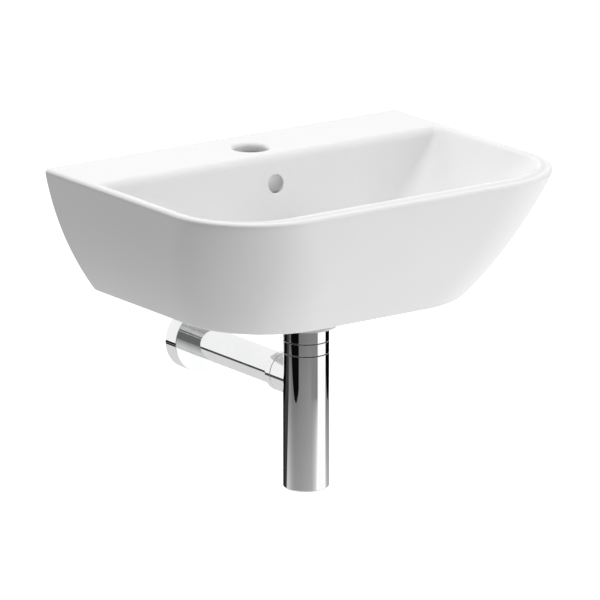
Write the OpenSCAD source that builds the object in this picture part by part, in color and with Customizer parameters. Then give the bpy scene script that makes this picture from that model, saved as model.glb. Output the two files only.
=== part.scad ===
// Wall-hung cloakroom basin with a push plug, a slim bottle trap and a wall outlet.
// The origin is midway between the two wall bolts, in the plane of the wall.
// +Z is up, the user stands on the -Y side and +X is on the right of a user who faces the wall.

/* [Basin] */
// Width over the rim
basin_w = 410; // [404:1:420]
// Depth from the wall to the front of the rim
basin_d = 304; // [298:1:312]
// Height from the rim to the lower edge of the skirt
skirt_h = 126.7; // [122:0.1:132]
// Width of the skirt at its lower edge
base_w = 298; // [290:1:306]
// Depth of the skirt at its lower edge
base_d = 237.7; // [232:0.1:244]
// Plan radius of the two front corners at the rim
rim_corner_r = 89; // [85:1:95]
// Plan radius of the two front corners at the lower edge
base_corner_r = 85; // [75:1:95]
// How much larger the front corners' radius grows halfway down
corner_swell = 13; // [0:1:15]
// Half of the angle that the skirt turns through between rim and lower edge
skirt_bulge = 13; // [9:0.5:14]
// Thickness of the rim at the sides
rim_side = 9.5; // [8:0.5:12]
// Thickness of the rim at the front
rim_front = 21.5; // [18:0.5:26]
// Radius of the rim's edges
edge_r = 3; // [2:0.5:4]
// Depth of the tap deck from the wall to the bowl
deck_d = 80; // [78:1:84]
// Radius between the deck and the bowl
deck_edge_r = 7; // [5:0.5:9]
// Thickness of the ceramic under the tap
deck_t = 14; // [12:0.5:16]
// Thickness of the skirt and the bowl
wall_t = 8; // [7:0.5:9]
// Thickness of the panel that rests on the wall
back_t = 12; // [10:0.5:14]
// Plan radius of the bowl's two front corners
bowl_corner_r = 70; // [66:1:78]
// Plan radius of the bowl's two back corners at the rim
bowl_back_r = 5; // [4:0.5:8]
// Depth of the bowl at the waste
bowl_depth = 90; // [88:0.5:92]

/* [Holes] */
// Tap hole
tap_hole_d = 35; // [33:0.5:36]
// Distance from the wall to the tap hole's centre
tap_back = 43.4; // [40:0.1:45]
// Overflow hole in the bowl's back wall
overflow_d = 18.5; // [14:0.5:20]
// Depth of the overflow hole's centre below the rim
overflow_drop = 26.7; // [24:0.1:32]
// Waste hole
waste_hole_d = 46; // [44:0.5:47]
// Distance from the wall to the waste hole's centre
waste_back = 133; // [131:0.5:140]
// Diameter of the round boss under the waste hole
boss_d = 60; // [58:1:66]
// Depth of the boss's lower end below the rim
boss_drop = 152; // [148:0.5:156]

/* [Waste and plug] */
// Outside diameter of the threaded waste barrel
barrel_d = 38; // [36:0.5:39]
// Bore of the waste barrel
barrel_bore = 33.6; // [32:0.1:34]
// Diameter of the waste's flange in the bowl
waste_flange_d = 58; // [54:1:59]
// Diameter of the domed plug
plug_d = 54; // [50:1:56]
// Travel of the plug from open to closed
plug_travel = 9; // [6:0.5:10]
// Wire diameter of the plug's spring
spring_wire = 0.9; // [0.6:0.1:1]
// Turns of the plug's spring
spring_turns = 8; // [5:1:9]

/* [Trap] */
// Outside diameter of the trap and of the two nuts above it
trap_d = 43.6; // [43:0.1:46]
// Wall thickness of the trap
trap_wall = 1.8; // [1.5:0.1:2.2]
// Depth of the trap's lower end below the rim
trap_drop = 312.6; // [300:0.1:330]
// Height of the nut under the basin
backnut_h = 13.2; // [11:0.1:15]
// Height of the nut that holds the trap to the waste
coupling_h = 11.8; // [11:0.1:13]
// Diameter of the tube that dips into the water
dip_d = 28; // [26:0.5:29]
// Depth of the dip tube's mouth below the rim
dip_drop = 284; // [270:1:290]
// Radius of the trap's lower edge
trap_edge_r = 3; // [2:0.5:3]

/* [Outlet] */
// Outside diameter of the outlet pipe
pipe_d = 32; // [30:0.5:32]
// Wall thickness of the outlet pipe
pipe_wall = 1.2; // [1:0.1:1.5]
// Depth of the outlet pipe's axis below the rim
outlet_drop = 207.6; // [202:0.1:220]
// Reach of the outlet pipe past the back of the basin
pipe_reach = 72; // [68:1:120]
// Outside diameter of the outlet nut and the socket behind it
outlet_nut_d = 38.8; // [38.6:0.1:40]
// Length of the outlet nut
outlet_nut_l = 8.4; // [7.5:0.1:10]
// Distance from the trap's axis to the outer end of the outlet nut
outlet_nut_reach = 40.5; // [39:0.5:45]
// Diameter of the wall flange
wall_flange_d = 62; // [58:1:70]
// Thickness of the wall flange
wall_flange_t = 17.6; // [12:0.1:20]
// Distance from the back of the basin to the front of the wall flange
wall_flange_y = 38.2; // [20:0.1:45]

/* [Wall fixings] */
// Distance between the two wall bolts
fixing_spacing = 200; // [180:5:220]
// Depth of the wall bolts below the rim
fixing_drop = 60; // [55:1:66]
// Diameter of the wall bolts in the wall
bolt_d = 10; // [8:0.5:10]
// Depth of the wall bolts in the wall, without the tip
bolt_in_wall = 55; // [40:1:80]
// Diameter of the fixing holes in the basin
fixing_hole_d = 18; // [16:0.5:20]

/* [Clearances] */
// Radial clearance of a thread or a sliding rod
running_fit = 0.05; // [0.02:0.01:0.08]
// Gap at a seam that shows as a dark line
seam = 0.4; // [0.3:0.1:0.6]
// Gap between pieces that move past each other
slip = 0.3; // [0.3:0.1:0.6]

/* [Hidden] */
$fn = 64;
cut = 1;

// Every height is given as a drop below the rim, and the rim lies this far above the origin.
rim_z = fixing_drop;
function level(drop) = rim_z - drop;

// The skirt's side and front are arcs whose chord runs from the rim to the lower edge.
arc_h = skirt_h - edge_r;
function chord(inset) = sqrt(arc_h * arc_h + inset * inset);
function arc_r(inset) = chord(inset) / (2 * sin(skirt_bulge));
function arc_start(inset) = atan(inset / arc_h) - skirt_bulge;
// How far an arc of radius r that starts a0 from the vertical has moved inwards at a drop
function arc_inset(drop, r, a0) = r * (cos(a0) - sqrt(1 - pow(sin(a0) + drop / r, 2)));
function skirt_inset(drop, inset) =
    arc_inset(max(0, drop - edge_r), arc_r(inset), arc_start(inset));
// How far a rounded edge of radius r stands back at a drop below its face
function edge_inset(drop, r) = drop >= r ? 0 : r - sqrt(r * r - pow(r - drop, 2));

side_inset = (basin_w - base_w) / 2;
front_inset = basin_d - base_d;

// The bowl's side and front wall: a long arc, then a tight one that turns into the floor.
bowl_wall_r = 380;
bowl_wall_a0 = 30.5;
bowl_blend_drop = 73;
bowl_blend_r = 40;
bowl_floor_a = 87;
bowl_blend_a0 = asin(sin(bowl_wall_a0) + bowl_blend_drop / bowl_wall_r);
bowl_floor_drop = bowl_blend_drop + bowl_blend_r * (sin(bowl_floor_a) - sin(bowl_blend_a0));
function bowl_inset(drop) =
    drop <= bowl_blend_drop
    ? arc_inset(drop, bowl_wall_r, bowl_wall_a0)
    : arc_inset(bowl_blend_drop, bowl_wall_r, bowl_wall_a0)
        + arc_inset(min(drop, bowl_floor_drop) - bowl_blend_drop, bowl_blend_r, bowl_blend_a0);

// The bowl's back wall: steep, steeper with depth, then a tight arc into the floor.
back_lean = 9;
back_blend_r = 11;
back_blend_drop = bowl_floor_drop - back_blend_r;
function bowl_back(drop) =
    deck_d + back_lean * sin(90 * min(1, drop / back_blend_drop))
    + (drop <= back_blend_drop ? 0 : back_blend_r - sqrt(
        max(0, back_blend_r * back_blend_r - pow(drop - back_blend_drop, 2))));

// The bowl's back corners widen like a fan as they go down.
back_corner_rate = 0.35;
front_corner_rate = 0.12;
function bowl_back_corner(drop) = bowl_back_r + back_corner_rate * drop;
function bowl_front_corner(drop) = bowl_corner_r - front_corner_rate * bowl_inset(drop);

// Points on each stretch of one half of a ring
back_steps = 4;
back_corner_steps = 5;
side_steps = 5;
front_corner_steps = 12;
front_steps = 4;

// Half a ring, from the middle of the back to the middle of the front, on the +X side
function half_ring(hw, back, front, back_r, front_r, drop) = concat(
    [for (i = [0 : back_steps - 1]) [(hw - back_r) * i / back_steps, -back, level(drop)]],
    [for (i = [0 : back_corner_steps]) let (a = 90 - 90 * i / back_corner_steps)
        [hw - back_r + back_r * cos(a), -back - back_r + back_r * sin(a), level(drop)]],
    [for (i = [1 : side_steps - 1]) let (t = i / side_steps)
        [hw, -(back + back_r) * (1 - t) - (front - front_r) * t, level(drop)]],
    [for (i = [0 : front_corner_steps]) let (a = -90 * i / front_corner_steps)
        [hw - front_r + front_r * cos(a), -front + front_r + front_r * sin(a), level(drop)]],
    [for (i = [1 : front_steps]) [(hw - front_r) * (1 - i / front_steps), -front, level(drop)]]
);
// A closed ring: the half and its mirror image, without the two middle points twice
function ring(hw, back, front, back_r, front_r, drop) =
    let (half = half_ring(hw, back, front, back_r, front_r, drop), n = len(half))
    concat(half, [for (i = [n - 2 : -1 : 1]) [-half[i][0], half[i][1], half[i][2]]]);

square_r = 1;
function bowl_ring(drop) = ring(
    basin_w / 2 - rim_side - bowl_inset(drop) + edge_inset(drop, edge_r),
    bowl_back(drop) - edge_inset(drop, deck_edge_r),
    basin_d - rim_front - bowl_inset(drop) + edge_inset(drop, edge_r),
    bowl_back_corner(drop), bowl_front_corner(drop) + edge_inset(drop, edge_r), drop);
// The bowl's outside: its inside moved down and outwards by the wall
function bowl_outer_ring(drop) = let (d = drop - wall_t) ring(
    basin_w / 2 - rim_side - bowl_inset(d) + wall_t, bowl_back(d) - wall_t,
    basin_d - rim_front - bowl_inset(d) + wall_t,
    bowl_back_corner(d) + wall_t, bowl_front_corner(d) + wall_t, drop);
function corner_r(drop) = rim_corner_r + (base_corner_r - rim_corner_r) * drop / skirt_h
    + corner_swell * sin(180 * drop / skirt_h);
function skirt_ring(drop) = ring(
    basin_w / 2 - skirt_inset(drop, side_inset) - edge_inset(drop, edge_r), 0,
    basin_d - skirt_inset(drop, front_inset) - edge_inset(drop, edge_r),
    square_r, corner_r(drop) - edge_inset(drop, edge_r), drop);
function skirt_inner_ring(drop) = ring(
    basin_w / 2 - skirt_inset(drop, side_inset) - wall_t, back_t,
    basin_d - skirt_inset(drop, front_inset) - wall_t, wall_t, corner_r(drop) - wall_t, drop);
// A rounded square round the waste, where the floor ends
floor_pad = 31;
floor_pad_r = 26;
function pad_ring(size, r, drop) =
    ring(size, waste_back - size, waste_back + size, r, r, drop);
// A ring part of the way from one ring to the next
function between(a, b, t) = [for (i = [0 : len(a) - 1]) a[i] * (1 - t) + b[i] * t];

// Levels at which rings lie
lip_levels = [deck_edge_r, 5, edge_r, 1.6, 0.6, 0];
wall_steps = 6;
blend_steps = 6;
skirt_steps = 10;
inner_steps = 5;
roof_drop = 38;
under_floor_drop = bowl_depth + wall_t;
wall_levels = [for (i = [wall_steps : -1 : 1])
    deck_edge_r + (bowl_blend_drop - deck_edge_r) * i / wall_steps];
blend_levels = [for (i = [blend_steps : -1 : 1])
    bowl_blend_drop + (bowl_floor_drop - bowl_blend_drop) * sin(90 * i / blend_steps)];
skirt_levels = [for (i = [1 : skirt_steps]) edge_r + (skirt_h - edge_r) * i / skirt_steps];
inner_levels = [for (i = [inner_steps : -1 : 0])
    roof_drop + (skirt_h - roof_drop) * i / inner_steps];
outer_levels = concat([for (i = [0 : wall_steps - 2])
    roof_drop + (bowl_blend_drop + wall_t - roof_drop) * i / (wall_steps - 2)],
    [for (i = [blend_steps - 1 : -1 : 0]) blend_levels[i] + wall_t]);

// The whole casting as one skin: up the bowl, over the rim, down the skirt and back underneath
skin_rings = concat(
    [pad_ring(floor_pad, floor_pad_r, bowl_depth)],
    [between(pad_ring(floor_pad, floor_pad_r, bowl_depth), bowl_ring(blend_levels[0]), 0.5)],
    [for (d = blend_levels) bowl_ring(d)],
    [for (d = wall_levels) bowl_ring(d)],
    [for (d = lip_levels) bowl_ring(d)],
    [for (i = [len(lip_levels) - 1 : -1 : 2]) skirt_ring(lip_levels[i])],
    [for (d = skirt_levels) skirt_ring(d)],
    [for (d = inner_levels) skirt_inner_ring(d)],
    [for (d = outer_levels) bowl_outer_ring(d)],
    [pad_ring(floor_pad, floor_pad_r, under_floor_drop)]
);

module skin(rings) {
    n = len(rings[0]);
    last = len(rings) - 1;
    polyhedron(
        points = [for (r = rings) each r],
        faces = concat(
            [[for (j = [0 : n - 1]) j]],
            [for (i = [0 : last - 1], j = [0 : n - 1]) let (k = (j + 1) % n)
                each [[i * n + j, (i + 1) * n + k, i * n + k],
                      [i * n + j, (i + 1) * n + j, (i + 1) * n + k]]],
            [[for (j = [n - 1 : -1 : 0]) last * n + j]]
        ));
}

// Placing helpers
// A round bar between two levels
module bar(top, bottom, d) {
    translate([0, 0, level(bottom)])
        cylinder(h = bottom - top, d = d);
}
// A tube between two levels
module tube(top, bottom, d_out, d_in) {
    difference() {
        bar(top, bottom, d_out);
        bar(top - cut, bottom + cut, d_in);
    }
}
// A round bar along Y, from y0 to a larger y1
module bar_y(y0, y1, d, drop = 0) {
    translate([0, y1, level(drop)])
        rotate([90, 0, 0])
            cylinder(h = y1 - y0, d = d);
}
// A tube along Y
module tube_y(y0, y1, d_out, d_in, drop = 0) {
    difference() {
        bar_y(y0, y1, d_out, drop);
        bar_y(y0 - cut, y1 + cut, d_in, drop);
    }
}
module at_waste() {
    translate([0, -waste_back, 0])
        children();
}
module at_fixings() {
    for (side = [-1, 1])
        translate([side * fixing_spacing / 2, 0, 0])
            children();
}
// A disc that is rounded at its outer edge on one side only
module rounded_disc(d, h, r) {
    rotate_extrude() {
        square([d / 2 - r, h]);
        translate([0, r])
            square([d / 2, h - r]);
        translate([d / 2 - r, r])
            circle(r = r);
    }
}

// The overflow duct runs down behind the bowl, then forward into the boss.
duct_w = 36;
duct_depth = 7;
duct_wall = 5;
duct_front = 79;
duct_top = 18;
duct_floor = 126;
duct_mouth_w = 28;
duct_mouth_top = 108;
duct_overlap = 3;
duct_reach = waste_back - waste_hole_d / 2 + duct_overlap;
casing_corner_r = 4;

module overflow_duct() {
    translate([-duct_w / 2, -duct_front, level(duct_floor)])
        cube([duct_w, duct_depth, duct_floor - duct_top]);
    translate([-duct_mouth_w / 2, -duct_reach, level(duct_floor)])
        cube([duct_mouth_w, duct_reach - duct_front + duct_depth, duct_floor - duct_mouth_top]);
}
// A box between two levels with rounded upright edges, centred on x = 0
module upright_box(width, front, back, top, bottom) {
    r = casing_corner_r;
    translate([0, 0, level(bottom)])
        linear_extrude(bottom - top)
            hull()
                for (x = [r - width / 2, width / 2 - r], y = [r - front, -back - r])
                    translate([x, y])
                        circle(r = r, $fn = 24);
}
// Beside the bowl its back wall is the casing's front, and below that the casing has its own.
module duct_casing() {
    back = duct_front - duct_depth - duct_wall;
    upright_box(duct_w + 2 * duct_wall, duct_front, back, deck_t - cut, back_blend_drop + cut);
    upright_box(duct_w + 2 * duct_wall, duct_front + duct_wall, back,
                back_blend_drop, duct_floor + duct_wall);
    upright_box(duct_mouth_w + 2 * duct_wall, duct_reach, back,
                duct_mouth_top - duct_wall, duct_floor + duct_wall);
}

pocket_w = 366;
boss_edge_r = 3;
seat_depth = 5.5;

// The casting before its holes are cut
module casting() {
    pocket_front = duct_front - duct_depth;
    difference() {
        skin(skin_rings);
        translate([-pocket_w / 2, -pocket_front, level(roof_drop + cut)])
            cube([pocket_w, pocket_front - back_t, roof_drop + cut - deck_t]);
    }
    at_waste()
        translate([0, 0, level(boss_drop)])
            rounded_disc(boss_d, boss_drop - bowl_depth - seat_depth, boss_edge_r);
    duct_casing();
}

module basin() {
    color("white")
        difference() {
            resize([basin_w, 0, 0])
                casting();
            translate([0, -tap_back, 0])
                bar(-cut, deck_t + cut, tap_hole_d);
            bar_y(-bowl_back(overflow_drop + overflow_d / 2) - cut, -duct_front + cut,
                  overflow_d, overflow_drop);
            at_waste() {
                bar(bowl_depth - cut, boss_drop + cut, waste_hole_d);
                bar(bowl_depth - cut, bowl_depth + seat_depth, waste_flange_d + 2);
            }
            at_fixings()
                bar_y(-back_t - cut, cut, fixing_hole_d, fixing_drop);
            overflow_duct();
        }
}

// The waste in the bowl, from its flange to the end of its threaded barrel
waste_flange_t = 4;
plug_rebate = 2.5;
plug_rebate_d = 45.2;
barrel_past_boss = 21.5;
barrel_end = boss_drop + barrel_past_boss;
gasket_t = seat_depth - waste_flange_t;
slot_w = 9;
slot_top = 110;
slot_h = 16;
spider_top = 134;
spider_h = 5;
spider_w = 4;
hub_d = 12;
hub_bore = 5;

module waste_body() {
    color("silver")
        at_waste() {
            difference() {
                union() {
                    bar(bowl_depth, bowl_depth + waste_flange_t, waste_flange_d);
                    bar(bowl_depth + waste_flange_t - cut, barrel_end, barrel_d);
                }
                bar(bowl_depth - cut, barrel_end + cut, barrel_bore);
                bar(bowl_depth - cut, bowl_depth + plug_rebate, plug_rebate_d);
                for (a = [45, 135])
                    rotate([0, 0, a])
                        translate([-barrel_d, -slot_w / 2, level(slot_top + slot_h)])
                            cube([2 * barrel_d, slot_w, slot_h]);
            }
            difference() {
                union() {
                    bar(spider_top, spider_top + spider_h, hub_d);
                    for (a = [0, 90])
                        rotate([0, 0, a])
                            translate([-barrel_bore / 2 - cut, -spider_w / 2, level(spider_top + spider_h)])
                                cube([barrel_bore + 2 * cut, spider_w, spider_h]);
                }
                bar(spider_top - cut, spider_top + spider_h + cut, hub_bore);
            }
        }
}

module waste_top_gasket() {
    color("dimgray")
        at_waste()
            tube(bowl_depth + waste_flange_t, bowl_depth + seat_depth,
                 waste_flange_d - 1, waste_hole_d);
}

// The lower gasket centres the barrel in the waste hole and fills the step to the backnut.
lower_gasket_t = 2.6;
lower_gasket_spigot = 6;

module waste_lower_gasket() {
    color("whitesmoke")
        at_waste()
            difference() {
                union() {
                    bar(boss_drop, boss_drop + lower_gasket_t, boss_d - 2);
                    bar(boss_drop - lower_gasket_spigot, boss_drop + cut / 2,
                        waste_hole_d - 4 * running_fit);
                }
                bar(boss_drop - lower_gasket_spigot - cut, boss_drop + lower_gasket_t + cut,
                    barrel_d + 2 * running_fit);
            }
}

backnut_top = boss_drop + lower_gasket_t;
coupling_top = backnut_top + backnut_h;
trap_top = coupling_top + coupling_h;

module waste_backnut() {
    color("silver")
        at_waste()
            tube(backnut_top, coupling_top - seam, trap_d, barrel_d + 2 * running_fit);
}

// The plug and its push mechanism, drawn open
cap_under = bowl_depth - slip - plug_travel;
cap_edge_t = 2;
cap_dome_h = 3;
plug_seal_t = 2.2;
plug_seal_d = 43;
cap_boss_d = 10;
stem_d = 8;
stem_stud_d = 5;
foot_d = 13;
foot_h = 3;
gland_top = 100;
gland_head_h = 4;
gland_spigot_h = 3;
cartridge_d = 17;
cartridge_bore = foot_d + 2 * running_fit;
cartridge_floor_t = 2;
foot_top = gland_top + gland_head_h + gland_spigot_h + slip;
spring_top = foot_top + foot_h + slip;
spring_foot = spider_top - cartridge_floor_t - slip;

module plug_cap() {
    dome_r = (pow(plug_d / 2, 2) + cap_dome_h * cap_dome_h) / (2 * cap_dome_h);
    dome_top = cap_under - cap_edge_t - cap_dome_h;
    color("silver")
        at_waste()
            difference() {
                union() {
                    intersection() {
                        translate([0, 0, level(dome_top) - dome_r])
                            sphere(r = dome_r, $fn = 128);
                        bar(dome_top - cut, cap_under, plug_d);
                    }
                    bar(cap_under - cut, cap_under + plug_seal_t, cap_boss_d);
                }
                bar(cap_under - cap_edge_t, cap_under + plug_seal_t + cut, stem_stud_d);
            }
}

module plug_seal() {
    color("dimgray")
        at_waste()
            tube(cap_under, cap_under + plug_seal_t, plug_seal_d, cap_boss_d + 2 * running_fit);
}

module plug_stem() {
    color("goldenrod")
        at_waste() {
            bar(cap_under - cap_edge_t + slip, cap_under + plug_seal_t + cut,
                stem_stud_d - 2 * running_fit);
            bar(cap_under + plug_seal_t, foot_top + foot_h, stem_d);
            bar(foot_top, foot_top + foot_h, foot_d);
        }
}

module plug_gland() {
    color("goldenrod")
        at_waste()
            difference() {
                union() {
                    bar(gland_top, gland_top + gland_head_h, cartridge_d);
                    bar(gland_top, gland_top + gland_head_h + gland_spigot_h, foot_d);
                }
                bar(gland_top - cut, gland_top + gland_head_h + gland_spigot_h + cut,
                    stem_d + 2 * running_fit);
            }
}

module plug_cartridge() {
    color("goldenrod")
        at_waste() {
            difference() {
                bar(gland_top + gland_head_h, spider_top, cartridge_d);
                bar(gland_top, spider_top - cartridge_floor_t, cartridge_bore);
            }
            bar(spider_top - cut, spider_top + spider_h + 2, hub_bore - 2 * running_fit);
        }
}

spring_d = 10.4;
spring_sides = 6;
spring_steps = 14;

module plug_spring() {
    count = spring_turns * spring_steps;
    rise = spring_foot - spring_top - spring_wire;
    rings = [for (i = [0 : count]) let (a = 360 * i / spring_steps)
        [for (j = [0 : spring_sides - 1]) let (b = -360 * j / spring_sides, w = spring_wire / 2)
            [(spring_d / 2 + w * cos(b)) * cos(a), (spring_d / 2 + w * cos(b)) * sin(a),
             level(spring_foot) + w + rise * i / count + w * sin(b)]]];
    color("gray")
        at_waste()
            skin(rings);
}

// The trap hangs from the waste barrel by its coupling nut, which catches a collar on its neck.
washer_t = 2;
collar_top = barrel_end + washer_t;
collar_t = 2;
collar_d = 37.2;
neck_d = 34;
head_t = 3.2;
plug_bore = 33;
plug_counterbore = 37.2;
plug_counterbore_h = 3;
plug_land_h = 6;
trap_cavity_end = trap_drop - plug_counterbore_h - plug_land_h;
pipe_stop = 1;
outlet_stop = waste_back - trap_d / 2 + trap_wall - pipe_stop;
outlet_nut_back = waste_back - outlet_nut_reach;
socket_end = outlet_nut_back + outlet_nut_l;
spigot_d = 35.6;
spigot_l = 4.4;

module trap_coupling_nut() {
    bottom = trap_top - seam / 2;
    color("silver")
        at_waste()
            difference() {
                bar(coupling_top, bottom, trap_d);
                bar(coupling_top - cut, collar_top + collar_t + slip / 3, barrel_d + 2 * running_fit);
                bar(coupling_top, bottom + cut, neck_d + 2 * slip);
            }
}

module trap_inlet_washer() {
    color("dimgray")
        at_waste()
            tube(barrel_end, collar_top, collar_d, dip_d);
}

module trap_bottle() {
    color("silver")
        difference() {
            union() {
                at_waste() {
                    translate([0, 0, level(trap_drop)])
                        rounded_disc(trap_d, trap_drop - trap_top - seam / 2, trap_edge_r);
                    bar(collar_top, trap_top + cut, neck_d);
                    bar(collar_top, collar_top + collar_t, collar_d);
                }
                bar_y(-waste_back, -socket_end, outlet_nut_d, outlet_drop);
                bar_y(-waste_back, -socket_end + spigot_l, spigot_d, outlet_drop);
            }
            at_waste() {
                bar(trap_top + head_t, trap_cavity_end, trap_d - 2 * trap_wall);
                bar(collar_top - cut, trap_top + head_t + cut, dip_d);
                bar(trap_cavity_end - cut, trap_drop + cut, plug_bore);
                bar(trap_drop - plug_counterbore_h, trap_drop + cut, plug_counterbore);
            }
            bar_y(-waste_back, -outlet_stop + cut, pipe_d - 3 * pipe_wall, outlet_drop);
            bar_y(-outlet_stop, -socket_end + spigot_l + cut, pipe_d + 2 * running_fit, outlet_drop);
        }
}

module trap_dip_tube() {
    color("silver")
        at_waste()
            tube(collar_top, dip_drop, dip_d, dip_d - 2 * pipe_wall);
}

// The cleaning plug screws up into the trap's lower end on its own seal.
base_seal_t = 1;
coin_slot = [26, 3.5, 1.4];

module trap_base_plug() {
    head_top = trap_drop - plug_counterbore_h + base_seal_t;
    color("silver")
        at_waste()
            difference() {
                union() {
                    bar(head_top, trap_drop - slip, plug_counterbore - 2 * slip);
                    bar(trap_cavity_end, head_top + cut / 2, plug_bore - 2 * running_fit);
                }
                translate([-coin_slot[0] / 2, -coin_slot[1] / 2, level(trap_drop + cut)])
                    cube([coin_slot[0], coin_slot[1], coin_slot[2] + cut]);
            }
}

module trap_base_seal() {
    color("dimgray")
        at_waste()
            tube(trap_drop - plug_counterbore_h, trap_drop - plug_counterbore_h + base_seal_t,
                 plug_counterbore - 2 * slip, plug_bore + 2 * running_fit);
}

// The outlet: a compression nut on the trap's socket, the pipe and the flange at the wall
nut_lip_t = 2;
nut_edge_r = 0.8;
olive_l = 1.6;

module outlet_nut() {
    near = -outlet_nut_back;
    far = -socket_end + seam;
    color("silver")
        difference() {
            translate([0, near, level(outlet_drop)])
                rotate([90, 0, 0])
                    rounded_disc(outlet_nut_d, near - far, nut_edge_r);
            bar_y(far - cut, near - nut_lip_t, spigot_d + 2 * running_fit, outlet_drop);
            bar_y(far - cut, near + cut, pipe_d + 2 * running_fit, outlet_drop);
        }
}

module outlet_olive() {
    near = -outlet_nut_back - nut_lip_t;
    color("dimgray")
        tube_y(near - olive_l, near, spigot_d, pipe_d + 2 * running_fit, outlet_drop);
}

// A shallow ring round the pipe marks how far it goes into the drain in the wall.
mark_back = 15;
mark_w = 0.5;
mark_depth = 0.2;

module outlet_pipe() {
    mark = pipe_reach - mark_back;
    color("silver")
        difference() {
            bar_y(-outlet_stop + slip, pipe_reach, pipe_d, outlet_drop);
            bar_y(-outlet_stop, pipe_reach + cut, pipe_d - 2 * pipe_wall, outlet_drop);
            tube_y(mark - mark_w, mark, pipe_d + 2, pipe_d - 2 * mark_depth, outlet_drop);
        }
}

flange_face_t = 2;
flange_wall_t = 1.5;
flange_edge_r = 1.4;
flange_seal_d = 37;
flange_seal_l = 3.5;
flange_ring_l = 4;

module wall_flange() {
    back = wall_flange_y + wall_flange_t;
    inner = wall_flange_y + flange_face_t;
    color("silver")
        difference() {
            translate([0, wall_flange_y, level(outlet_drop)])
                rotate([-90, 0, 0])
                    rounded_disc(wall_flange_d, wall_flange_t, flange_edge_r);
            difference() {
                bar_y(inner, back + cut, wall_flange_d - 2 * flange_wall_t, outlet_drop);
                bar_y(inner - cut, inner + flange_ring_l, flange_seal_d + 3, outlet_drop);
            }
            bar_y(inner, back, flange_seal_d, outlet_drop);
            bar_y(wall_flange_y - cut, back, pipe_d + 2 * slip, outlet_drop);
        }
}

module flange_seal() {
    inner = wall_flange_y + flange_face_t;
    color("dimgray")
        tube_y(inner, inner + flange_seal_l, flange_seal_d, pipe_d + 2 * running_fit, outlet_drop);
}

// The wall fixings: from the ceramic outwards a bush, a washer and a nut on each bolt
bolt_front = 40;
bolt_tip = 7;
bolt_tip_d = 3;
bolt_metric_d = bolt_d - 0.2;
bush_wall_gap = 0.2;
bush_head_d = 28;
bush_head_t = 3;
washer_d = 24;
fixing_washer_t = 2;
nut_flats = 17;
nut_h = 8;

module fixing_bolts() {
    color("silver")
        at_fixings() {
            bar_y(0, bolt_in_wall, bolt_d, fixing_drop);
            bar_y(-bolt_front, cut, bolt_metric_d, fixing_drop);
            translate([0, bolt_in_wall, level(fixing_drop)])
                rotate([-90, 0, 0])
                    cylinder(h = bolt_tip, d1 = bolt_d, d2 = bolt_tip_d);
        }
}

module fixing_bushes() {
    color("whitesmoke")
        at_fixings()
            difference() {
                union() {
                    bar_y(-back_t - bush_head_t, -back_t, bush_head_d, fixing_drop);
                    bar_y(-back_t - cut, -slip, fixing_hole_d - 2 * bush_wall_gap, fixing_drop);
                }
                bar_y(-back_t - bush_head_t - cut, cut, bolt_metric_d + 2 * running_fit, fixing_drop);
            }
}

module fixing_washers() {
    far = -back_t - bush_head_t;
    color("silver")
        at_fixings()
            tube_y(far - fixing_washer_t, far, washer_d, bolt_d + 0.6, fixing_drop);
}

module fixing_nuts() {
    far = -back_t - bush_head_t - fixing_washer_t;
    color("silver")
        at_fixings()
            difference() {
                translate([0, far, level(fixing_drop)])
                    rotate([90, 0, 0])
                        cylinder(h = nut_h, d = nut_flats / cos(30), $fn = 6);
                bar_y(far - nut_h - cut, far + cut, bolt_metric_d + 2 * running_fit, fixing_drop);
            }
}

basin();
waste_body();
waste_top_gasket();
waste_lower_gasket();
waste_backnut();
plug_cap();
plug_seal();
plug_stem();
plug_cartridge();
plug_gland();
plug_spring();
trap_coupling_nut();
trap_inlet_washer();
trap_bottle();
trap_dip_tube();
trap_base_plug();
trap_base_seal();
outlet_nut();
outlet_olive();
outlet_pipe();
wall_flange();
flange_seal();
fixing_bolts();
fixing_bushes();
fixing_washers();
fixing_nuts();
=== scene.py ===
import math

import bmesh
import bpy
from mathutils import Matrix, Vector


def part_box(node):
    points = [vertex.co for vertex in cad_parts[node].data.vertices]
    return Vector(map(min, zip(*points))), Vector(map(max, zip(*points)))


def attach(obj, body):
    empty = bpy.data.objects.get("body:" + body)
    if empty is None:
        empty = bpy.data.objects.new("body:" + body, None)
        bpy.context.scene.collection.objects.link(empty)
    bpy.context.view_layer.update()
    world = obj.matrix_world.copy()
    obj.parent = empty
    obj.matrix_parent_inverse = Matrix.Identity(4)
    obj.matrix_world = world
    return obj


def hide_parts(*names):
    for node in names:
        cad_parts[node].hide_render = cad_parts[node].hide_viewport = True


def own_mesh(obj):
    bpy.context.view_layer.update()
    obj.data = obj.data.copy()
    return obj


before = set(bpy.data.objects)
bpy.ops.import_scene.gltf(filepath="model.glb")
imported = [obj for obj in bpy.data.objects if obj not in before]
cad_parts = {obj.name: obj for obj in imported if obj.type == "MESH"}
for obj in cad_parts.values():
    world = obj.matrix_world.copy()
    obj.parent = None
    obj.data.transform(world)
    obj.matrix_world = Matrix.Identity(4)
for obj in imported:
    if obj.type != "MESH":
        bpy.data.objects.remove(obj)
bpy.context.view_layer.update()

MM = 0.001

# Camera: the photograph's viewing angle and framing for a frame of 600 x 600
FRAME_PX = 600
SENSOR = 36.0
FOCAL_PX = 6710
TURN = 35.73
TILT = 15.08
DISTANCE = 6.381
AIM_RIGHT = 0.0719
AIM_UP = -0.1537

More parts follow.
